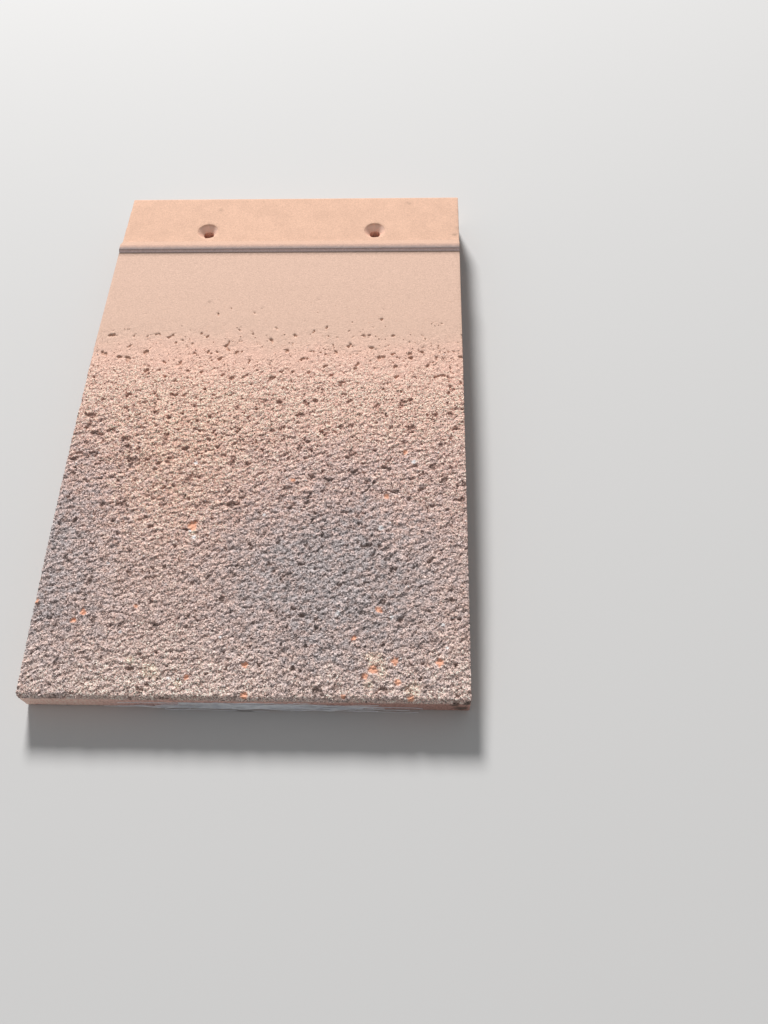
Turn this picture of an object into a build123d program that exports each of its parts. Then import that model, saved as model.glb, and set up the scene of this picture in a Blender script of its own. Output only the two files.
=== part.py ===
from build123d import *
import os
from math import atan2, cos, degrees, radians, sin, tan

# Clay roof tile: one pressed and fired plate that hangs on a batten by a nib and is held by two nails.
# Millimetres. X runs across the tile, Y from the tail up to the head, Z up out of the face.
# The tile lies on its nib and its tail, and the origin is the middle of its bounding box on the ground.

# Plate
tile_width = 170.0
tile_length = 270.0
plate_thickness = 9.8
camber_rise = 4.5

# Ledge across the face, and the bare head band above it
ledge_from_head = 42.0
ledge_height = 1.25
ledge_riser_run = 0.6
ledge_crest = 3.6
ledge_back_run = 4.4
head_band_drop = 0.7

# Head and nib
head_thickness = 11.4
head_draft = 1.8
nib_length = 11.7
nib_depth = 8.4

# Underside behind the nib: bed on the batten, nail groove, shallow hollow, then a step up to the plate
bed_length = 11.3
groove_width = 9.0
groove_depth = 2.8
rib_land = 1.2
rib_drop = 1.7
hollow_width = 10.5
hollow_depth = 0.9
step_land = 4.8
step_drop = 0.8
step_run = 3.8

# Foot under the tail
foot_length = 27.0
foot_rise = 2.3
foot_step_run = 3.6
foot_hollow = 6.5
foot_hollow_depth = 0.6

# Nail holes, with the clay that the pins push out under them
nail_spacing = 85.0
nail_hole_diameter = 4.6
countersink_diameter = 10.8
countersink_angle = 90.0
plug_diameter = 11.0
plug_proud = 0.6
plug_draft = 3.0
plug_floor = 2.2
plug_root = 1.0

# Rounded edges
tail_roll_radius = 2.5
resting_edge_radius = 1.5
nib_edge_radius = 1.5
nib_root_radius = 1.2
head_edge_radius = 0.8
ledge_edge_radius = 0.4
rib_edge_radius = 0.5
step_edge_radius = 1.0
tail_corner_radius = 2.0

# The face is an arc from the tail to the head. Every other height is a depth under that arc.
face_radius = tile_length**2 / (8 * camber_rise) + camber_rise / 2
arc_centre = (tile_length / 2, camber_rise - face_radius)


def lean(from_tail):
    """Turn of the face at a distance from the tail, in radians, towards the head."""
    return (from_tail - tile_length / 2) / face_radius


def at(from_tail, depth):
    """Point of the side section, by its distance from the tail and its depth under the face arc."""
    reach = face_radius - depth
    return (
        arc_centre[0] + reach * sin(lean(from_tail)),
        arc_centre[1] + reach * cos(lean(from_tail)),
    )


def along(start, end, depth):
    """Arc that follows the camber from one distance to another, at one depth."""
    return ThreePointArc(at(start, depth), at((start + end) / 2, depth), at(end, depth))


# Distances from the tail
ledge_foot = tile_length - ledge_from_head
ledge_top = ledge_foot + ledge_riser_run
crest_back = ledge_top + ledge_crest
band_start = crest_back + ledge_back_run
nib_heel = tile_length + head_draft
nib_face = nib_heel - nib_length
groove_head = nib_face - bed_length
nail_line = groove_head - groove_width / 2
groove_tail = groove_head - groove_width
hollow_head = groove_tail - rib_land
hollow_tail = hollow_head - hollow_width
step_head = hollow_tail - step_land
step_tail = step_head - step_run
foot_step_tail = foot_length - foot_step_run
foot_land = foot_step_tail - foot_hollow

# Depths under the face arc
bed_depth = head_band_drop + head_thickness
nib_bottom = bed_depth + nib_depth
groove_floor = bed_depth - groove_depth
rib_depth = bed_depth - rib_drop
hollow_floor = rib_depth - hollow_depth
step_depth = bed_depth - step_drop
foot_depth = plate_thickness + foot_rise

# Corners that are rounded, each with its radius
rounded = [
    (at(0, 0), tail_roll_radius),
    (at(ledge_top, -ledge_height), ledge_edge_radius),
    (at(crest_back, -ledge_height), ledge_edge_radius),
    (at(tile_length, head_band_drop), head_edge_radius),
    (at(nib_heel, nib_bottom), resting_edge_radius),
    (at(nib_face, nib_bottom), nib_edge_radius),
    (at(nib_face, bed_depth), nib_root_radius),
    (at(hollow_tail, step_depth), rib_edge_radius),
    (at(step_head, step_depth), step_edge_radius),
    (at(step_tail, plate_thickness), step_edge_radius),
    (at(foot_length, plate_thickness), step_edge_radius),
    (at(foot_step_tail, foot_depth), step_edge_radius),
    (at(0, foot_depth), resting_edge_radius),
]


def side_section():
    """Section of the tile from tail to head, the same over the whole width."""
    with BuildSketch(Plane.YZ) as section:
        with BuildLine():
            # Face: field, ledge and head band
            along(0, ledge_foot, 0)
            Polyline(
                at(ledge_foot, 0),
                at(ledge_top, -ledge_height),
                at(crest_back, -ledge_height),
                at(band_start, head_band_drop),
                at(tile_length, head_band_drop),
            )
            # Head end, nib and bed
            Polyline(
                at(tile_length, head_band_drop),
                at(nib_heel, nib_bottom),
                at(nib_face, nib_bottom),
                at(nib_face, bed_depth),
                at(groove_head, bed_depth),
            )
            # Nail groove, rib, hollow and the step up to the plate
            ThreePointArc(at(groove_head, bed_depth), at(nail_line, groove_floor), at(groove_tail, rib_depth))
            Line(at(groove_tail, rib_depth), at(hollow_head, rib_depth))
            ThreePointArc(
                at(hollow_head, rib_depth),
                at((hollow_head + hollow_tail) / 2, hollow_floor),
                at(hollow_tail, step_depth),
            )
            Polyline(at(hollow_tail, step_depth), at(step_head, step_depth), at(step_tail, plate_thickness))
            # Underside of the plate, and the foot under the tail
            along(step_tail, foot_length, plate_thickness)
            Line(at(foot_length, plate_thickness), at(foot_step_tail, foot_depth))
            ThreePointArc(
                at(foot_step_tail, foot_depth),
                at((foot_step_tail + foot_land) / 2, foot_depth - foot_hollow_depth),
                at(foot_land, foot_depth),
            )
            along(foot_land, 0, foot_depth)
            Line(at(0, foot_depth), at(0, 0))
        make_face()
        for corner, radius in rounded:
            fillet(section.vertices().sort_by_distance(corner)[0], radius)
    return section.sketch


def plan_outline():
    """Outline seen from above, with the two tail corners rounded."""
    with BuildSketch() as outline:
        with Locations((0, nib_heel / 2)):
            Rectangle(tile_width, nib_heel)
        fillet(outline.vertices().group_by(Axis.Y)[0], tail_corner_radius)
    return outline.sketch


def nail_planes():
    """A plane on the face over each nail hole, with its normal along the nail."""
    turn = lean(nail_line)
    y, z = at(nail_line, head_band_drop)
    return [
        Plane(origin=(side * nail_spacing / 2, y, z), x_dir=(1, 0, 0), z_dir=(0, sin(turn), cos(turn)))
        for side in (-1, 1)
    ]


def nail_plug():
    """Round button of clay pushed out under a nail hole, drafted, and seated in the plate above it."""
    face = head_thickness + plug_proud
    height = face - (groove_floor - head_band_drop - plug_root)
    root_radius = plug_diameter / 2 + height * tan(radians(plug_draft))
    upright = (Align.CENTER, Align.CENTER, Align.MIN)
    button = Pos(0, 0, -face) * Cone(plug_diameter / 2, root_radius, height, align=upright)
    return chamfer(button.edges().sort_by(Axis.Z)[0], plug_proud / 2)


def nail_hole():
    """Countersunk hole that stops short of the plug's face."""
    depth = head_thickness + plug_proud - plug_floor
    return CounterSinkHole(nail_hole_diameter / 2, countersink_diameter / 2, depth, countersink_angle)


def lying(tile):
    """Turn that brings the nib's and the tail's lower edges to one level, and the shift to the origin."""
    toe = at(0, foot_depth)
    heel = at(nib_heel, nib_bottom)
    turn = Rot(X=degrees(atan2(toe[1] - heel[1], heel[0] - toe[0])))
    box = (turn * tile).bounding_box()
    return Pos(0, -box.center().Y, -box.min.Z) * turn


def roof_tile():
    """The whole tile, as one solid."""
    tile = extrude(side_section(), tile_width / 2, both=True)
    tile &= extrude(plan_outline(), 2 * (camber_rise + nib_bottom), both=True)
    for plane in nail_planes():
        tile += plane * nail_plug()
    for plane in nail_planes():
        tile -= plane * nail_hole()
    return lying(tile) * tile


os.makedirs("parts", exist_ok=True)
export_step(roof_tile(), "parts/roof_tile.step")
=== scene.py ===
from math import cos, pi, radians, sin

import bpy
import numpy as np
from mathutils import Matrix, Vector, noise


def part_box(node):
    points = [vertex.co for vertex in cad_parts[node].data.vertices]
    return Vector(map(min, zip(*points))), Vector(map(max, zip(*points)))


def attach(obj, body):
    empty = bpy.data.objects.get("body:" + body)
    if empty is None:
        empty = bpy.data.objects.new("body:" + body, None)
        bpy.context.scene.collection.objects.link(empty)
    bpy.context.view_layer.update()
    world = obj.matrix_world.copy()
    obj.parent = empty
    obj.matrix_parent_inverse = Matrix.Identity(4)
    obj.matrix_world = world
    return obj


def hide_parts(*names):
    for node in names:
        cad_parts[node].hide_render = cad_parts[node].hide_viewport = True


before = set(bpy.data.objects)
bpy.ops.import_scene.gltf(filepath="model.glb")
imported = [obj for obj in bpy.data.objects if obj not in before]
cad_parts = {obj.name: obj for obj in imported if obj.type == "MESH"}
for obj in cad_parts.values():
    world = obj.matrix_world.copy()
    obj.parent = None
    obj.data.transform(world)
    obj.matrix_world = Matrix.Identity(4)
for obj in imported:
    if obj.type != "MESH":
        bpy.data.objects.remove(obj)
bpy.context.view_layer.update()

# The view. One hand-held picture from just beyond the tail, looking down on the face at about sixty
# degrees. It comes first, because the chips and specks of the face are placed by its pixels.
picture_size = (768, 1024)
camera_place = Vector((0.0643, -0.2406, 0.3193))
camera_turn = (radians(31.40), radians(1.65), radians(1.39))
camera_lens = 30.41
film_width = 36

camera_data = bpy.data.cameras.new("view")
camera_data.lens = camera_lens
camera_data.sensor_width = film_width
camera = bpy.data.objects.new("view", camera_data)
camera.location = camera_place
camera.rotation_euler = camera_turn
bpy.context.scene.collection.objects.link(camera)
bpy.context.scene.camera = camera
bpy.context.view_layer.update()


def on_the_tile(across, down):
    """Point of the tile that a pixel of the picture shows, in metres."""
    pixel = film_width / camera_lens / max(picture_size)
    ray = Vector(((across - picture_size[0] / 2) * pixel, (picture_size[1] / 2 - down) * pixel, -1))
    ray = camera.matrix_world.to_3x3() @ ray
    hit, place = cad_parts["roof_tile"].ray_cast(camera_place, ray.normalized())[:2]
    return place if hit else None


# The tile. One plate of clay, pressed in a mould, roughened on the lower two thirds of its face, and fired.
# Its shape is the model's, and its skin is added: crumbs, torn scales and holes where it is rough, chips, and
# a dragged surface elsewhere. It is one plain piece and strips of the rough face, which meet edge to edge.
millimetre = 0.001
per_metre = 1000.0
tile_low, tile_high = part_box("roof_tile")
tail_end = tile_low.y * per_metre
side_edge = tile_high.x * per_metre

# Fineness of the skin: its cells in metres, its triangles in all and in one strip, and what counts as rough
skin_cell = 0.00034
most_triangles = 620000
most_in_a_strip = 185000
least_roughness = 0.001

# Where the face is rough, in millimetres along the tile, how far those rows wander, and what faces up
ledge_foot = 92.2
roughness_starts = 54.0
roughness_full = -38.0
row_cloud, row_wander = (16.0,), 26.0
field_rows = (ledge_foot - 1.0, ledge_foot - 6.0)
facing_up = (0.05, 0.45)

# Relief of the rough face in millimetres: tears, lumps, crumbs and fine grain, and how far it all sinks. A
# cloud has the size of its lumps, its detail and its harshness.
tear_cloud, tear_reach = (1.6, 3.0), 3.0
lump_cloud, lump_height = (3.0, 2.0, 0.6), 0.95
crumb_size, crumb_dome, crumb_step = 1.25, -0.1, 0.1
fine_cloud, fine_height = (0.8, 2.0, 0.6), 0.5
rough_face_sink = -0.77

# Torn scales: how far they turn from the tile's width, how much they are drawn out, and for each size in
# millimetres its slope and step
scale_lie = radians(22)
scale_squash = 0.8
torn_scales = ((1.9, 0.19, 0.16), (0.8, 0.14, 0.05))
scale_tear_cloud, scale_tear_reach = (2.0, 4.0, 0.65), 4.0

# Holes, wide and narrow: cloud, depth and rim, rows from few to many, and the cloud's level that opens them
wide_cloud, wide_depth, wide_rim = (3.5, 1.0), 0.65, 0.05
wide_rows, wide_levels = (70.0, 22.0), (0.81, 0.632)
fewer_wide_rows, fewer_wide_level = (-30.0, -90.0), 0.03
narrow_cloud, narrow_depth, narrow_rim = (1.7, 1.0), 0.3, 0.06
narrow_rows, narrow_levels = (66.0, 10.0), (0.78, 0.645)

# Depths in millimetres of the chips, and of the drag on the sides, the face and the tail's end face
chip_depth = 0.25
drag_cloud, side_drag, face_drag = (3.5, 4.0, 0.6), -0.22, -0.06
tail_cloud, tail_drag = (1.4, 3.0, 0.6), -0.45
facing_tail = (-0.4, -0.8)


def node(tree, kind, inputs=None, **settings):
    """Adds one node. Each input is a socket to link or a value to set, by the input's name or number."""
    new = tree.nodes.new(kind)
    for name, value in settings.items():
        setattr(new, name, value)
    for key, value in (inputs or {}).items():
        if isinstance(value, bpy.types.NodeSocket):
            tree.links.new(value, new.inputs[key])
        else:
            new.inputs[key].default_value = value
    return new


def maths(tree, operation, first, second=0.0, third=0.0):
    """One sum, as a Math node's output."""
    return node(tree, "ShaderNodeMath", {0: first, 1: second, 2: third}, operation=operation).outputs[0]


def times(tree, first, second):
    """One number times another."""
    return maths(tree, "MULTIPLY", first, second)


def vector(tree, operation, first, second=(0, 0, 0), third=(0, 0, 0)):
    """One sum of vectors, as a Vector Math node's output."""
    return node(tree, "ShaderNodeVectorMath", {0: first, 1: second, 2: third}, operation=operation).outputs[0]


def measure(tree, operation, first, second=(0, 0, 0)):
    """One number got from vectors, as a Vector Math node's output."""
    return node(tree, "ShaderNodeVectorMath", {0: first, 1: second}, operation=operation).outputs["Value"]


def scaled(tree, place, factor):
    """A vector times a number."""
    return node(tree, "ShaderNodeVectorMath", {0: place, "Scale": factor}, operation="SCALE").outputs[0]


def axes(tree, place):
    """The three numbers of a vector."""
    return node(tree, "ShaderNodeSeparateXYZ", {0: place}).outputs


def spread(tree, value, low, high, to_low=0.0, to_high=1.0):
    """Soft step of a value from one level to another."""
    inputs = {"Value": value, "From Min": low, "From Max": high, "To Min": to_low, "To Max": to_high}
    return node(tree, "ShaderNodeMapRange", inputs, interpolation_type="SMOOTHSTEP").outputs["Result"]


def cloud(tree, place, size, detail=2.0, harshness=0.5):
    """Noise from 0 to 1 whose lumps are about that many millimetres wide."""
    inputs = {"Vector": place, "Scale": 1.0 / size, "Detail": detail, "Roughness": harshness}
    return node(tree, "ShaderNodeTexNoise", inputs, normalize=True)


def wander(tree, value, lumps, reach):
    """A value moved up and down by a cloud, by half that reach each way."""
    shift = maths(tree, "MULTIPLY_ADD", lumps.outputs[0], reach, -reach / 2)
    return maths(tree, "ADD", value, shift)


def torn(tree, place, lumps, reach):
    """A place moved sideways by a cloud's colours, by half that reach each way."""
    shift = vector(tree, "SUBTRACT", lumps.outputs["Color"], (0.5, 0.5, 0.5))
    return vector(tree, "MULTIPLY_ADD", shift, (reach, reach, 0.0), place)


def cell_pattern(tree, place, size):
    """Cells of that many millimetres, as a Voronoi node's outputs."""
    inputs = {"Vector": place, "Scale": 1.0 / size, "Randomness": 1.0}
    return node(tree, "ShaderNodeTexVoronoi", inputs).outputs


def grains(tree, place, size):
    """Cells of that many millimetres: the distance from each cell's middle, and a lot drawn for each."""
    cell = cell_pattern(tree, place, size)
    return cell["Distance"], axes(tree, cell["Color"])[0]


def keep(tree, geometry, name, value):
    """Stores a value on the mesh, for the material."""
    inputs = {"Geometry": geometry, "Name": name, "Value": value}
    stored = node(tree, "GeometryNodeStoreNamedAttribute", inputs, data_type="FLOAT", domain="POINT")
    return stored.outputs["Geometry"]


def kept(tree, name):
    """A value that was stored on the mesh, for a geometry tree."""
    return node(tree, "GeometryNodeInputNamedAttribute", {"Name": name}, data_type="FLOAT").outputs[0]


def surface_place(tree):
    """Where each point lies, in millimetres, for a geometry tree."""
    return scaled(tree, node(tree, "GeometryNodeInputPosition").outputs[0], per_metre)


def geometry_tree(name):
    """An empty geometry tree, with its first and last sockets."""
    tree = bpy.data.node_groups.new(name, "GeometryNodeTree")
    tree.interface.new_socket("Geometry", in_out="INPUT", socket_type="NodeSocketGeometry")
    tree.interface.new_socket("Geometry", in_out="OUTPUT", socket_type="NodeSocketGeometry")
    return tree, node(tree, "NodeGroupInput").outputs[0], node(tree, "NodeGroupOutput").inputs[0]


def skin_of_the_tile():
    """Moves the surface along its normal: crumbs and holes on the field, a dragged skin elsewhere."""
    tree, start, end = geometry_tree("clay_skin")
    place = surface_place(tree)
    y = axes(tree, place)[1]
    normal = node(tree, "GeometryNodeInputNormal").outputs[0]
    facing = axes(tree, normal)

    # Where the face is roughened
    top = spread(tree, facing[2], *facing_up)
    row = wander(tree, y, cloud(tree, place, *row_cloud), row_wander)
    field = times(tree, top, spread(tree, y, *field_rows))
    rough = times(tree, spread(tree, row, roughness_starts, roughness_full), field)

    # Crumbs: ragged lumps, and torn scales of two sizes that lie aslant across the tile. Each scale rises
    # towards the tail and breaks off there.
    ragged = torn(tree, place, cloud(tree, place, *tear_cloud), tear_reach)
    lumps = cloud(tree, ragged, *lump_cloud).outputs[0]
    crumbs = maths(tree, "MULTIPLY_ADD", lumps, lump_height, rough_face_sink)
    reach, lot = grains(tree, ragged, crumb_size)
    crumbs = maths(tree, "MULTIPLY_ADD", reach, crumb_dome, crumbs)
    crumbs = maths(tree, "MULTIPLY_ADD", lot, crumb_step, crumbs)
    fine = cloud(tree, ragged, *fine_cloud).outputs[0]
    crumbs = maths(tree, "MULTIPLY_ADD", fine, fine_height, crumbs)
    scale_length = (scale_squash * cos(scale_lie), scale_squash * sin(scale_lie), 0)
    along = measure(tree, "DOT_PRODUCT", place, scale_length)
    across = measure(tree, "DOT_PRODUCT", place, (-sin(scale_lie), cos(scale_lie), 0))
    aslant = node(tree, "ShaderNodeCombineXYZ", {0: along, 1: across}).outputs[0]
    frayed = torn(tree, aslant, cloud(tree, place, *scale_tear_cloud), scale_tear_reach)
    for size, slope, step in torn_scales:
        scale = cell_pattern(tree, frayed, size)
        from_middle = axes(tree, vector(tree, "SUBTRACT", frayed, scale["Position"]))[1]
        crumbs = maths(tree, "MULTIPLY_ADD", from_middle, -slope, crumbs)
        crumbs = maths(tree, "MULTIPLY_ADD", axes(tree, scale["Color"])[0], step, crumbs)
    crumbs = times(tree, crumbs, rough)

    # Holes of two sizes, few near the ledge and many further down
    level = spread(tree, row, *wide_rows, *wide_levels)
    level = maths(tree, "ADD", level, spread(tree, row, *fewer_wide_rows, 0.0, fewer_wide_level))
    wide = maths(tree, "SUBTRACT", cloud(tree, ragged, *wide_cloud).outputs[0], level)
    level = spread(tree, row, *narrow_rows, *narrow_levels)
    narrow = maths(tree, "SUBTRACT", cloud(tree, ragged, *narrow_cloud).outputs[0], level)
    holes = times(tree, spread(tree, wide, 0.0, wide_rim), wide_depth)
    holes = maths(tree, "MULTIPLY_ADD", spread(tree, narrow, 0.0, narrow_rim), narrow_depth, holes)
    holes = times(tree, holes, field)

    # Chips, and the skin of the plain faces, which only ever goes inwards
    drag = cloud(tree, place, *drag_cloud).outputs[0]
    drag = times(tree, drag, spread(tree, top, 0.0, 1.0, side_drag, face_drag))
    fine = cloud(tree, place, *tail_cloud).outputs[0]
    end_face = spread(tree, facing[1], *facing_tail, 0.0, tail_drag)
    drag = maths(tree, "MULTIPLY_ADD", fine, end_face, drag)
    height = maths(tree, "SUBTRACT", crumbs, holes)
    height = maths(tree, "MULTIPLY_ADD", kept(tree, "chip"), -chip_depth, height)
    height = maths(tree, "ADD", height, drag)
    shape = keep(tree, start, "top", top)
    shape = keep(tree, shape, "rough", rough)
    shape = keep(tree, shape, "hole", maths(tree, "MINIMUM", holes, 1.0))
    shape = keep(tree, shape, "height", crumbs)
    shift = scaled(tree, normal, times(tree, height, millimetre))
    moved = node(tree, "GeometryNodeSetPosition", {"Geometry": shape, "Offset": shift}).outputs[0]
    tree.links.new(moved, end)
    return tree


def trim():
    """Brings what stands out of the tile's own box back to its sides."""
    tree, start, end = geometry_tree("trim")
    inside = vector(tree, "MAXIMUM", node(tree, "GeometryNodeInputPosition").outputs[0], tuple(tile_low))
    inside = vector(tree, "MINIMUM", inside, tuple(tile_high))
    moved = node(tree, "GeometryNodeSetPosition", {"Geometry": start, "Position": inside}).outputs[0]
    tree.links.new(moved, end)
    return tree


# Marks on the face, by pixel, with their width in millimetres
marks = {
    # Fresh orange clay where crumbs broke away
    "chip": (
        (193, 526, 4.6), (293, 480, 2.4), (387, 496, 2.8), (379, 610, 3.2), (354, 638, 2.2), (395, 661, 3.4),
        (440, 663, 3.4), (373, 669, 4.4), (245, 665, 2.8), (244, 696, 3.2), (186, 677, 2.4), (411, 699, 3.2),
        (83, 612, 3.0), (73, 620, 2.6), (36, 601, 2.6), (405, 452, 2.4), (398, 682, 3.0), (343, 697, 2.2),
        (136, 606, 2.2), (365, 676, 2.8),
    ),
    # Pale and yellowish clay where the sand is thin
    "pale": (
        (193, 533, 4.0), (375, 660, 9.0), (383, 672, 6.0), (150, 672, 8.0), (126, 244, 2.4), (456, 245, 2.0),
        (178, 684, 4.0), (368, 684, 5.0), (130, 660, 4.0), (414, 690, 7.0), (205, 203, 5.0), (424, 203, 6.5),
    ),
    # White grains and crusts
    "white": (
        (414, 462, 2.2), (196, 463, 1.8), (194, 537, 2.0), (190, 531, 1.4), (381, 528, 2.2), (392, 617, 1.8),
        (338, 613, 1.8), (23, 701, 1.4), (107, 703, 1.8), (120, 632, 1.4), (220, 637, 1.4), (168, 678, 1.4),
        (108, 563, 1.4), (447, 648, 1.4), (443, 625, 1.6), (264, 515, 1.2),
    ),
    # Dark spots and chipped places
    "dark": (
        (221, 211, 1.6), (409, 203, 1.8), (289, 242, 1.2), (457, 228, 2.2), (456, 234, 1.6), (462, 709, 7.0),
        (455, 706, 4.0), (468, 704, 4.0),
    ),
}

# Rims of the marks: their lobes, the fraying on top of those with its size in millimetres, and how hard
mark_lobes, mark_apart = 1.3, 7.1
mark_fray, mark_fray_size = 0.6, 0.7
mark_wobble = 0.5
mark_hardness = 2.5


def mark(points, places, name, mesh):
    """Marks irregular spots on the mesh, 1 in the middle and 0 outside."""
    shares = np.zeros(len(points), np.float32)
    for number, (across, down, width) in enumerate(places):
        centre = on_the_tile(across, down)
        if centre is None:
            continue
        reach = width / 2 * millimetre
        for index in np.nonzero(np.abs(points - np.array(centre)).max(axis=1) < 2 * reach)[0]:
            offset = Vector(points[index]) - centre
            wobble = noise.noise(offset.normalized() * mark_lobes + Vector((number * mark_apart, 0, 0)))
            wobble += mark_fray * noise.noise(Vector(points[index]) / (mark_fray_size * millimetre))
            share = 1.0 - offset.length / (reach * (1.0 + mark_wobble * wobble))
            shares[index] = max(shares[index], min(1.0, max(0.0, share * mark_hardness)))
    mesh.attributes.new(name, "FLOAT", "POINT").data.foreach_set("value", shares)


def only(piece):
    """Makes one object the selected and active one."""
    bpy.ops.object.select_all(action="DESELECT")
    piece.select_set(True)
    bpy.context.view_layer.objects.active = piece


def new_piece(name, mesh):
    """Adds a piece at the origin and makes it the active one."""
    piece = bpy.data.objects.new(name, mesh)
    bpy.context.scene.collection.objects.link(piece)
    only(piece)
    return piece


def run_tree(piece, tree):
    """Applies a geometry tree to a piece."""
    change = piece.modifiers.new("change", "NODES")
    change.node_group = tree
    only(piece)
    bpy.ops.object.modifier_apply(modifier="change")


def point_places(mesh):
    """Where the mesh's points are, one row for each."""
    places = np.empty(len(mesh.vertices) * 3, np.float32)
    mesh.vertices.foreach_get("co", places)
    return places.reshape(-1, 3)


tile = new_piece("whole_tile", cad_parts["roof_tile"].data.copy())
tile.data.materials.clear()
bpy.ops.object.mode_set(mode="EDIT")
bpy.ops.mesh.select_all(action="SELECT")
bpy.ops.mesh.remove_doubles(threshold=1e-6)
bpy.ops.object.mode_set(mode="OBJECT")

cells = tile.modifiers.new("cells", "REMESH")
cells.mode = "VOXEL"
cells.voxel_size = skin_cell
bpy.ops.object.modifier_apply(modifier="cells")

points = point_places(tile.data)
for mark_name, mark_places in marks.items():
    mark(points, mark_places, mark_name, tile.data)
run_tree(tile, skin_of_the_tile())

thin = tile.modifiers.new("thin", "DECIMATE")
thin.ratio = most_triangles / (2 * len(tile.data.polygons))
thin.use_collapse_triangulate = True
bpy.ops.object.modifier_apply(modifier="thin")
run_tree(tile, trim())
bpy.ops.object.shade_smooth()

# Number of the strip that each face belongs to, from the head down, and 0 for the plain faces
corners = np.empty(len(tile.data.loops), np.int32)
tile.data.loops.foreach_get("vertex_index", corners)
corners = corners.reshape(-1, 3)
roughness = np.empty(len(tile.data.vertices), np.float32)
tile.data.attributes["rough"].data.foreach_get("value", roughness)
is_rough = roughness[corners].max(axis=1) > least_roughness
strip_count = int(is_rough.sum() // most_in_a_strip + 1)
rows = point_places(tile.data)[corners, 1].mean(axis=1)
ends = np.quantile(rows[is_rough], np.linspace(1, 0, strip_count + 1)[1:-1])
strips = is_rough * (1.0 + (rows[:, None] < ends).sum(axis=1))
tile.data.attributes.new("strip", "FLOAT", "FACE").data.foreach_set("value", strips.astype(np.float32))


def one_strip(number):
    """Keeps the faces of one strip."""
    tree, start, end = geometry_tree("one_strip")
    chosen = maths(tree, "COMPARE", kept(tree, "strip"), number, 0.1)
    inputs = {"Geometry": start, "Selection": chosen}
    strip = node(tree, "GeometryNodeSeparateGeometry", inputs, domain="FACE").outputs["Selection"]
    tree.links.new(strip, end)
    return tree


def attribute(tree, name):
    """A value that was stored on the mesh, for a material."""
    return node(tree, "ShaderNodeAttribute", attribute_name=name).outputs["Fac"]


def painted_place(tree):
    """Where each point lies, in millimetres, for a material."""
    return scaled(tree, node(tree, "ShaderNodeTexCoord").outputs["Object"], per_metre)


def tint(tree, share, low, high, kind="MIX"):
    """Mixes two colours, each a colour or a socket."""
    mixed = node(tree, "ShaderNodeMix", {0: share, 6: low, 7: high}, data_type="RGBA", blend_type=kind)
    return mixed.outputs[2]


def dim(tree, colour, light):
    """A colour times a number."""
    grey = node(tree, "ShaderNodeCombineColor", {0: light, 1: light, 2: light}).outputs[0]
    return tint(tree, 1.0, colour, grey, "MULTIPLY")


def mottle(tree, lumps, low, high):
    """A cloud's dark and light places, brought to two levels."""
    return spread(tree, lumps.outputs[0], *mottle_levels, low, high)


def mottled(tree, colour, place, mottles):
    """A colour with darker and lighter places. Each mottle is a cloud and the light at its two ends."""
    for lumps, low, high in mottles:
        colour = dim(tree, colour, mottle(tree, cloud(tree, place, *lumps), low, high))
    return colour


def specks(tree, place, size, rim, share):
    """Round specks in that share of the cells of that many millimetres."""
    reach, lot = grains(tree, place, size)
    return times(tree, spread(tree, reach, *rim), maths(tree, "LESS_THAN", lot, share))


def blot(tree, place, middle, reach):
    """A round patch with a frayed rim, 1 in its middle and 0 outside."""
    away = vector(tree, "SUBTRACT", place, (*middle, 0))
    away = measure(tree, "LENGTH", vector(tree, "MULTIPLY", away, (1 / reach[0], 1 / reach[1], 0)))
    return spread(tree, wander(tree, away, cloud(tree, place, *blot_cloud), blot_fray), blot_rim, 0.0)


# Levels of a cloud between which it mottles, and the frayed rim of a round patch
mottle_levels = (0.3, 0.7)
blot_cloud, blot_fray, blot_rim = (11.0, 5.0, 0.65), 0.9, 1.15

# Colours of the field from the ledge down, each from one row of the face to the next
field_clay = (0.70, 0.475, 0.37, 1)
lower_clays = (
    (42.0, 2.0, (0.885, 0.53, 0.425, 1)),
    (-4.0, -38.0, (0.775, 0.51, 0.435, 1)),
    (-40.0, -84.0, (0.685, 0.49, 0.43, 1)),
    (-100.0, -132.0, (0.79, 0.565, 0.49, 1)),
)
colour_cloud, colour_wander = (14.0, 4.0, 0.6), 30.0

# Patches on the field, each with its middle and reach in millimetres
smoke_blots = (((31, -88), (71, 68)), ((-98, -80), (62, 88)))
smoked_clay, smoke_share = (0.475, 0.41, 0.40, 1), 0.9
smoke_cloud, smoke_mottle = (2.6, 2.0, 0.6), 0.3
warm_blot = ((-40, -30), (52, 66))
warm_clay, warm_share = (0.92, 0.53, 0.40, 1), 0.6

# Sand, painted shade in the hollows, and specks of the face: cells in millimetres, light of the grains, and
# shares of the tints
sand_cell = 0.36
smooth_contrast, rough_contrast, darkest_light = 0.22, 1.4, 0.1
# Painted shade: the low places between the crumbs, the holes and the small round pits are painted darker
low_heights, low_shade_share = (-0.08, -0.55), 0.62
pit_cell, pit_rim, pit_cells = 1.7, (0.24, 0.1), 0.3
pit_rows, pit_share = (78.0, 46.0), 0.5
smooth_hole_shade, rough_hole_shade = 0.55, 0.9
white_tones = (0.585, 0.60)
# Colours of the painted shade: brown in the pits and near the ledge, dark grey in the low places and deep
# holes
pit_shade_clay = (0.56, 0.31, 0.21, 1)
deep_shade_clay = (0.18, 0.125, 0.105, 1)
chip_clay = (0.95, 0.48, 0.32, 1)
pale_clay, pale_share = (1.0, 0.67, 0.52, 1), 0.55
white_crust = (0.94, 0.91, 0.90, 1)
dark_dirt, dark_share = (0.10, 0.08, 0.065, 1), 0.8
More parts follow.
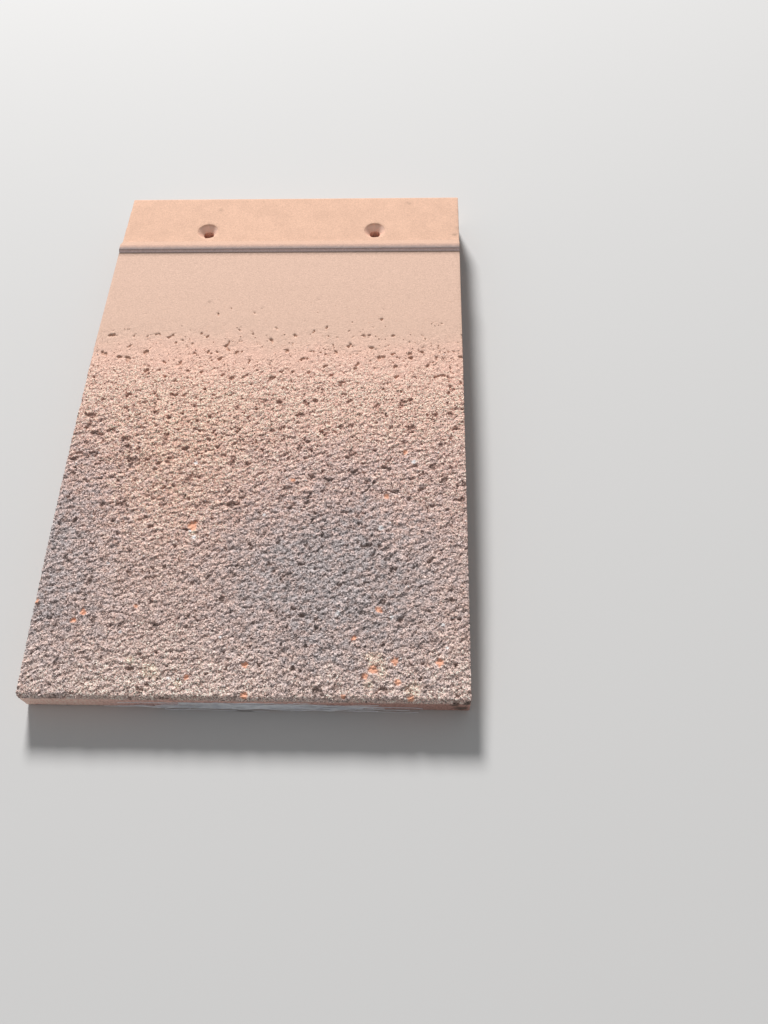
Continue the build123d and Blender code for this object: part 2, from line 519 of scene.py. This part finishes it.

# Ledge and head band: the rows of each colour, in millimetres along the tile, among them the painted shadow
# on the ledge's front, and the painted shade on the field at its foot
crest_rows = (97.0, 96.2)
ledge_shadow_rows = (96.5, 93.2)
riser_rows = (93.3, 92.6)
foot_rows, foot_light = (88.4, 92.2), 0.62
ledge_rows = (91.8, 92.3)
head_rows = (100.2, 101.6)
edge_cloud, edge_wander = (2.0, 3.0, 0.6), 1.6
head_mottles = (((9.0, 4.0, 0.6), 0.96, 1.04),)
head_clay = (0.727, 0.46, 0.332, 1)
# Painted shade: the slope behind the ledge and its crest are painted darker than the head band, the ledge's
# front is a painted shadow, and the riser is painted lighter than the clay to lift its deep shade
ledge_back_clay = (0.558, 0.363, 0.27, 1)
ledge_crest_clay = (0.66, 0.43, 0.33, 1)
ledge_painted_shadow = (0.345, 0.265, 0.246, 1)
riser_clay = (0.88, 0.69, 0.66, 1)

# Underside, sides and tail: clays, crumbs stuck below, and how far the tail's colours and its dust reach
under_clay = (0.76, 0.40, 0.25, 1)
side_clay = (0.56, 0.385, 0.30, 1)
side_mottles = (((0.9, 4.0, 0.7), 0.86, 1.12), ((14.0, 4.0, 0.6), 0.92, 1.06))
mould_lines = (((3.0, 3.0, 0.7), 0.96, 1.03),)
mould_line_squash = (0.02, 1.0, 0.02)
under_mottles = (((18.0, 5.0, 0.65), 0.92, 1.06),)
facing_down = (-0.3, -0.7)
stuck_cell, stuck_rim, stuck_cells = 6.0, (0.14, 0.08), 0.22
tail_left_clay = (0.98, 0.62, 0.52, 1)
tail_face_clay = (0.74, 0.455, 0.39, 1)
tail_face_dark = (0.48, 0.27, 0.225, 1)
tail_left_reach, tail_dark_reach = (-66.0, -34.0), (-10.0, 75.0)
tail_mottles = (((0.8, 3.0, 0.7), 0.65, 1.35),)
tail_rows = (tail_end + 3.0, tail_end + 1.2)
web_dust, web_share = (0.66, 0.66, 0.74, 1), 0.3
web_heights, web_blot = (8.0, 4.5), ((5, -135), (70, 400))

# Nail holes: their places, the rims of dish and bore, and the height above which they are cut
nail_reach, nail_row = 42.5, 108.5
dish_rim, bore_rim = (5.5, 4.4), (2.7, 2.3)
plug_top = (9.2, 9.8)
# The dish's colour is painted light: lighter towards the head, where its wall lies in the lamp's shade, and
# darker towards the tail, where it is lit
dish_rows = (nail_row - 2.0, nail_row + 4.0)
dish_clay_darkened_where_lit = (0.70, 0.43, 0.32, 1)
dish_clay_lightened_in_shade = (0.95, 0.67, 0.55, 1)
nail_hole_clay = (0.45, 0.20, 0.14, 1)

# Matt finish, with a fine grain that is too small for the mesh, in millimetres and metres deep
lightest = (0.95, 0.95, 0.95)
clay_roughness, clay_gloss = 0.92, 0.25
bump_cloud, bump_depth = (0.9, 3.0, 0.7), 0.0006
smooth_bump, rough_bump = 0.22, 1.0


def fired_clay():
    """Clay that goes from bare orange at the head, through pinkish tan, to smoked grey near the tail."""
    material = bpy.data.materials.new("fired_clay")
    material.use_nodes = True
    tree = material.node_tree
    shader = tree.nodes["Principled BSDF"]
    place = painted_place(tree)
    x, y, z = axes(tree, place)
    top = attribute(tree, "top")
    rough = attribute(tree, "rough")

    # Field, row by row, and the patches that the kiln's smoke left
    row = wander(tree, y, cloud(tree, place, *colour_cloud), colour_wander)
    colour = field_clay
    for first_row, last_row, clay in lower_clays:
        colour = tint(tree, spread(tree, row, first_row, last_row), colour, clay)
    colour = tint(tree, times(tree, blot(tree, place, *warm_blot), warm_share), colour, warm_clay)
    smoke = 0.0
    for middle, reach in smoke_blots:
        smoke = maths(tree, "MAXIMUM", smoke, blot(tree, place, middle, reach))
    patchy = mottle(tree, cloud(tree, place, *smoke_cloud), -smoke_mottle, smoke_mottle)
    smoke = maths(tree, "MULTIPLY_ADD", smoke, smoke_share, times(tree, patchy, rough))
    smoke = node(tree, "ShaderNodeClamp", {0: smoke}).outputs[0]
    colour = tint(tree, smoke, colour, smoked_clay)

    # Sand of light and dark grains, painted shade in the holes and in round specks that stand for small pits,
    # and painted shade in the low places between the crumbs
    lot = maths(tree, "SUBTRACT", grains(tree, place, sand_cell)[1], 0.5)
    lot = maths(tree, "ADD", lot, attribute(tree, "tone"))
    contrast = spread(tree, rough, 0.0, 0.6, smooth_contrast, rough_contrast)
    light = maths(tree, "MAXIMUM", maths(tree, "MULTIPLY_ADD", lot, contrast, 1.0), darkest_light)
    colour = dim(tree, colour, light)
    low = spread(tree, attribute(tree, "height"), *low_heights, 0.0, low_shade_share)
    colour = tint(tree, times(tree, low, spread(tree, rough, 0.0, 0.5)), colour, deep_shade_clay)
    speck = specks(tree, place, pit_cell, pit_rim, pit_cells)
    speck = times(tree, speck, spread(tree, row, *pit_rows, 0.0, pit_share))
    colour = tint(tree, speck, colour, pit_shade_clay)
    painted_depth_shade = tint(tree, spread(tree, rough, 0.1, 0.8), pit_shade_clay, deep_shade_clay)
    hole_shade = spread(tree, rough, 0.0, 0.3, smooth_hole_shade, rough_hole_shade)
    colour = tint(tree, times(tree, attribute(tree, "hole"), hole_shade), colour, painted_depth_shade)
    pale = times(tree, attribute(tree, "pale"), pale_share)
    colour = tint(tree, pale, colour, dim(tree, pale_clay, light))
    colour = tint(tree, attribute(tree, "chip"), colour, chip_clay)

    # Ledge and head band: a slope behind the ledge painted darker than the head band, a painted shadow over
    # the crest and front, a riser painted lighter to lift its shade, and painted shade on the field below its
    # foot
    head = dim(tree, mottled(tree, head_clay, place, head_mottles), light)
    edge = wander(tree, y, cloud(tree, place, *edge_cloud), edge_wander)
    ledge = tint(tree, spread(tree, y, *crest_rows), ledge_back_clay, ledge_crest_clay)
    ledge = tint(tree, spread(tree, edge, *ledge_shadow_rows), ledge, ledge_painted_shadow)
    ledge = tint(tree, spread(tree, y, *riser_rows), ledge, riser_clay)
    ledge = dim(tree, ledge, light)
    foot = dim(tree, colour, spread(tree, edge, *foot_rows, 1.0, foot_light))
    colour = tint(tree, spread(tree, y, *ledge_rows), foot, ledge)
    colour = tint(tree, spread(tree, edge, *head_rows), colour, head)
    colour = tint(tree, attribute(tree, "white"), colour, white_crust)
    colour = tint(tree, spread(tree, attribute(tree, "tone"), *white_tones), colour, white_crust)

    # The other faces: cut sides, a moulded underside with the lines of its mould, and a dusty tail
    normal = node(tree, "ShaderNodeNewGeometry").outputs["Normal"]
    down = spread(tree, axes(tree, normal)[2], *facing_down)
    drawn_out = vector(tree, "MULTIPLY", place, mould_line_squash)
    below = mottled(tree, under_clay, drawn_out, mould_lines)
    below = mottled(tree, below, place, under_mottles)
    below = tint(tree, specks(tree, place, stuck_cell, stuck_rim, stuck_cells), below, dark_dirt)
    plain = tint(tree, down, mottled(tree, side_clay, place, side_mottles), below)
    tail = tint(tree, spread(tree, x, *tail_left_reach), tail_left_clay, tail_face_clay)
    tail = tint(tree, spread(tree, x, *tail_dark_reach), tail, tail_face_dark)
    dust = times(tree, spread(tree, z, *web_heights, 0.0, web_share), blot(tree, place, *web_blot))
    tail = tint(tree, dust, tail, web_dust)
    tail = tint(tree, down, mottled(tree, tail, place, tail_mottles), below)
    plain = tint(tree, spread(tree, y, *tail_rows), plain, tail)
    colour = tint(tree, top, plain, colour)
    colour = tint(tree, times(tree, attribute(tree, "dark"), dark_share), colour, dark_dirt)

    # Nail holes, bare red clay in a dish, painted lighter on its shaded upper side and darker on its lit
    # lower side
    mirrored = maths(tree, "SUBTRACT", maths(tree, "ABSOLUTE", x), nail_reach)
    beside = node(tree, "ShaderNodeCombineXYZ", {0: mirrored, 1: maths(tree, "SUBTRACT", y, nail_row)})
    from_nail = measure(tree, "LENGTH", beside.outputs[0])
    above_plug = spread(tree, z, *plug_top)
    dish_with_painted_light = tint(tree, spread(tree, y, *dish_rows), dish_clay_darkened_where_lit, dish_clay_lightened_in_shade)
    colour = tint(tree, times(tree, spread(tree, from_nail, *dish_rim), above_plug), colour, dish_with_painted_light)
    colour = tint(tree, times(tree, spread(tree, from_nail, *bore_rim), above_plug), colour, nail_hole_clay)
    colour = vector(tree, "MINIMUM", colour, lightest)
    tree.links.new(colour, shader.inputs["Base Color"])
    shader.inputs["Roughness"].default_value = clay_roughness
    shader.inputs["Specular IOR Level"].default_value = clay_gloss

    fine = cloud(tree, place, *bump_cloud).outputs[0]
    fine = times(tree, fine, spread(tree, rough, 0.0, 0.6, smooth_bump, rough_bump))
    bump = node(tree, "ShaderNodeBump", {"Height": fine, "Strength": 1.0, "Distance": bump_depth})
    tree.links.new(bump.outputs[0], shader.inputs["Normal"])
    return material


clay = fired_clay()
tile.data.materials.append(clay)
for strip in range(strip_count + 1):
    part = new_piece("rough_face_%d" % strip if strip else "tile_body", tile.data.copy())
    run_tree(part, one_strip(strip))
    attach(part, "root")
    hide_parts("roof_tile")

# The sand. Crumbs and grains of fired clay that stuck to the roughened face, half sunk in it. Each is a small
# stone of eight facets with its own size, turn and tone, and a few are white. They come in two like lots.
sand_margin = 0.5
grains_to_area = 0.275
sand_gathers = 1.6
smallest_grain = 0.4
largest_grain = 0.9
darkest_grain = -0.22
lightest_grain = 0.28
white_grains = 0.006
least_grain_roughness = 0.2
sand_seeds = (11, 31)


def drawn(tree, low, high, seed):
    """A lot along each axis, from one vector to another."""
    inputs = {0: low, 1: high, "Seed": seed}
    return node(tree, "FunctionNodeRandomValue", inputs, data_type="FLOAT_VECTOR").outputs[0]


def copied(tree, spots, shape, turn, size):
    """A real copy of a shape on each spot."""
    inputs = {"Points": spots, "Instance": shape, "Rotation": turn, "Scale": size}
    copies = node(tree, "GeometryNodeInstanceOnPoints", inputs).outputs[0]
    return node(tree, "GeometryNodeRealizeInstances", {"Geometry": copies}).outputs[0]


def scattered_grains(shape, sand_seed):
    """Scatters one grain over the rough part of the face."""
    tree, start, end = geometry_tree("scattered_grains")
    ground = node(tree, "GeometryNodeObjectInfo", {"Object": tile}).outputs["Geometry"]
    x, y = axes(tree, surface_place(tree))[:2]
    inside = maths(tree, "LESS_THAN", maths(tree, "ABSOLUTE", x), side_edge - sand_margin)
    inside = times(tree, inside, maths(tree, "GREATER_THAN", y, tail_end + sand_margin))
    rough = kept(tree, "rough")
    share = times(tree, maths(tree, "POWER", rough, sand_gathers), inside)
    share = times(tree, share, maths(tree, "SUBTRACT", 1.0, kept(tree, "chip")))
    share = times(tree, share, maths(tree, "SUBTRACT", 1.0, kept(tree, "white")))
    density = times(tree, share, grains_to_area / millimetre**2)
    inputs = {"Mesh": ground, "Density": density, "Seed": sand_seed}
    spots = node(tree, "GeometryNodeDistributePointsOnFaces", inputs).outputs["Points"]
    lot = node(tree, "FunctionNodeRandomValue", {"Seed": sand_seed + 1}, data_type="FLOAT").outputs[1]
    tone = maths(tree, "MULTIPLY_ADD", lot, lightest_grain - darkest_grain, darkest_grain)
    tone = maths(tree, "ADD", tone, maths(tree, "GREATER_THAN", lot, 1.0 - white_grains))
    spots = keep(tree, keep(tree, spots, "tone", tone), "top", 1.0)
    spots = keep(tree, spots, "rough", maths(tree, "MAXIMUM", rough, least_grain_roughness))
    turn = drawn(tree, (0, 0, 0), (2 * pi,) * 3, sand_seed + 2)
    size = drawn(tree, (smallest_grain * millimetre,) * 3, (largest_grain * millimetre,) * 3, sand_seed + 3)
    grain = node(tree, "GeometryNodeObjectInfo", {"Object": shape}).outputs["Geometry"]
    tree.links.new(copied(tree, spots, grain, turn, size), end)
    return tree


bpy.ops.object.select_all(action="DESELECT")
bpy.ops.mesh.primitive_uv_sphere_add(segments=4, ring_count=2, radius=0.5)
grain = bpy.context.active_object
for number, sand_seed in enumerate(sand_seeds, 1):
    sand = new_piece("sand_%d" % number, bpy.data.meshes.new("sand_%d" % number))
    run_tree(sand, scattered_grains(grain, sand_seed))
    run_tree(sand, trim())
    sand.data.materials.clear()
    sand.data.materials.append(clay)
    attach(sand, "root")
    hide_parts("roof_tile")
bpy.data.objects.remove(grain)
bpy.data.objects.remove(tile)

# The web. Grey dust and old cobweb that cling to the lower half of the tail's end face: fine strands that
# run along it in a loose bundle. Each strand is a thin three-sided thread.
strand_count = 130
strand_reach = (0.010, 0.040)
strand_thickness = 0.00012
strand_points = 14
strand_tilt = (0.0, 0.05, 0.0)
sway_cloud, strand_sway = (9.0, 3.0, 0.6), (0.0, 0.0006, 0.005)
web_middle = (0.006, -0.1349, 0.0045)
web_spread = (0.024, 0.0002, 0.0022)
dusty_thread = (0.84, 0.85, 0.90, 1)
clean_thread = (0.95, 0.96, 0.98, 1)
thread_cloud, thread_levels = (3.0, 3.0, 0.6), (0.35, 0.65)
thread_roughness = 0.8

# Seeds of the draws
spot_seeds = (3, 4)
length_seed = 5
tilt_seed = 6


def pull(tree, seed):
    """A lot from -1 to 1 along each axis."""
    return drawn(tree, (-1.0, -1.0, -1.0), (1.0, 1.0, 1.0), seed)


def strands():
    """Scatters threads along the tail's end face, bends each by a slow noise, and gives it a skin."""
    tree, start, end = geometry_tree("strands")
    where = vector(tree, "ADD", pull(tree, spot_seeds[0]), pull(tree, spot_seeds[1]))
    where = vector(tree, "MULTIPLY_ADD", where, web_spread, web_middle)
    spots = node(tree, "GeometryNodePoints", {"Count": strand_count, "Position": where}).outputs[0]
    length = {2: strand_reach[0], 3: strand_reach[1], "Seed": length_seed}
    length = node(tree, "FunctionNodeRandomValue", length, data_type="FLOAT").outputs[1]
    size = node(tree, "ShaderNodeCombineXYZ", {0: length, 1: 1.0, 2: 1.0}).outputs[0]
    turn = vector(tree, "MULTIPLY", pull(tree, tilt_seed), strand_tilt)
    ends = {"Start": (-0.5, 0, 0), "End": (0.5, 0, 0)}
    line = node(tree, "GeometryNodeCurvePrimitiveLine", ends).outputs[0]
    line = node(tree, "GeometryNodeResampleCurve", {"Curve": line, "Count": strand_points}).outputs[0]
    threads = copied(tree, spots, line, turn, size)
    sway = cloud(tree, surface_place(tree), *sway_cloud).outputs["Color"]
    sway = vector(tree, "MULTIPLY", vector(tree, "SUBTRACT", sway, (0.5, 0.5, 0.5)), strand_sway)
    bent = node(tree, "GeometryNodeSetPosition", {"Geometry": threads, "Offset": sway}).outputs[0]
    ring = {"Resolution": 3, "Radius": strand_thickness}
    ring = node(tree, "GeometryNodeCurvePrimitiveCircle", ring).outputs[0]
    skin = {"Curve": bent, "Profile Curve": ring, "Fill Caps": True}
    tree.links.new(node(tree, "GeometryNodeCurveToMesh", skin).outputs[0], end)
    return tree


def cobweb():
    """Dusty grey thread, lighter in places."""
    material = bpy.data.materials.new("cobweb")
    material.use_nodes = True
    tree = material.node_tree
    share = spread(tree, cloud(tree, painted_place(tree), *thread_cloud).outputs[0], *thread_levels)
    colour = tint(tree, share, dusty_thread, clean_thread)
    tree.links.new(colour, tree.nodes["Principled BSDF"].inputs["Base Color"])
    tree.nodes["Principled BSDF"].inputs["Roughness"].default_value = thread_roughness
    return material


web = new_piece("tail_web", bpy.data.meshes.new("tail_web"))
run_tree(web, strands())
run_tree(web, trim())
web.data.materials.clear()
web.data.materials.append(cobweb())
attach(web, "root")
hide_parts("roof_tile")

# The ground. A plain pale floor of matt paper, which isn't part of the tile. It lies a hair's breadth under
# the tile, so that the edges on which the tile rests don't sink into it.
floor_size = 6.0
floor_level = -0.0001
paper_colour = (0.62, 0.61, 0.60, 1)
paper_roughness = 0.9

bpy.ops.object.select_all(action="DESELECT")
bpy.ops.mesh.primitive_plane_add(size=floor_size, location=(0, 0, floor_level))
floor = bpy.context.active_object
floor.name = "floor"
paper = bpy.data.materials.new("pale_floor")
paper.use_nodes = True
paper.node_tree.nodes["Principled BSDF"].inputs["Base Color"].default_value = paper_colour
paper.node_tree.nodes["Principled BSDF"].inputs["Roughness"].default_value = paper_roughness
floor.data.materials.append(paper)

# The light. Soft daylight from all round, and one soft lamp low beyond the head, a little to the left. The
# lamp's slanting light draws the crumbs, and the daylight keeps their shadows open.
sky_colour = (0.96, 0.98, 1.0, 1)
sky_strength = 0.33
lamp_place = (-0.72, 3.0, 1.97)
lamp_width = 0.8
lamp_power = 193.0

world = bpy.data.worlds.new("daylight")
world.use_nodes = True
world.node_tree.nodes["Background"].inputs["Color"].default_value = sky_colour
world.node_tree.nodes["Background"].inputs["Strength"].default_value = sky_strength
bpy.context.scene.world = world
lamp_data = bpy.data.lights.new("soft_lamp", "AREA")
lamp_data.shape = "DISK"
lamp_data.size = lamp_width
lamp_data.energy = lamp_power
lamp = bpy.data.objects.new("soft_lamp", lamp_data)
lamp.location = lamp_place
lamp.rotation_euler = (-lamp.location).to_track_quat("-Z", "Y").to_euler()
bpy.context.scene.collection.objects.link(lamp)
bpy.context.scene.view_settings.view_transform = "Standard"
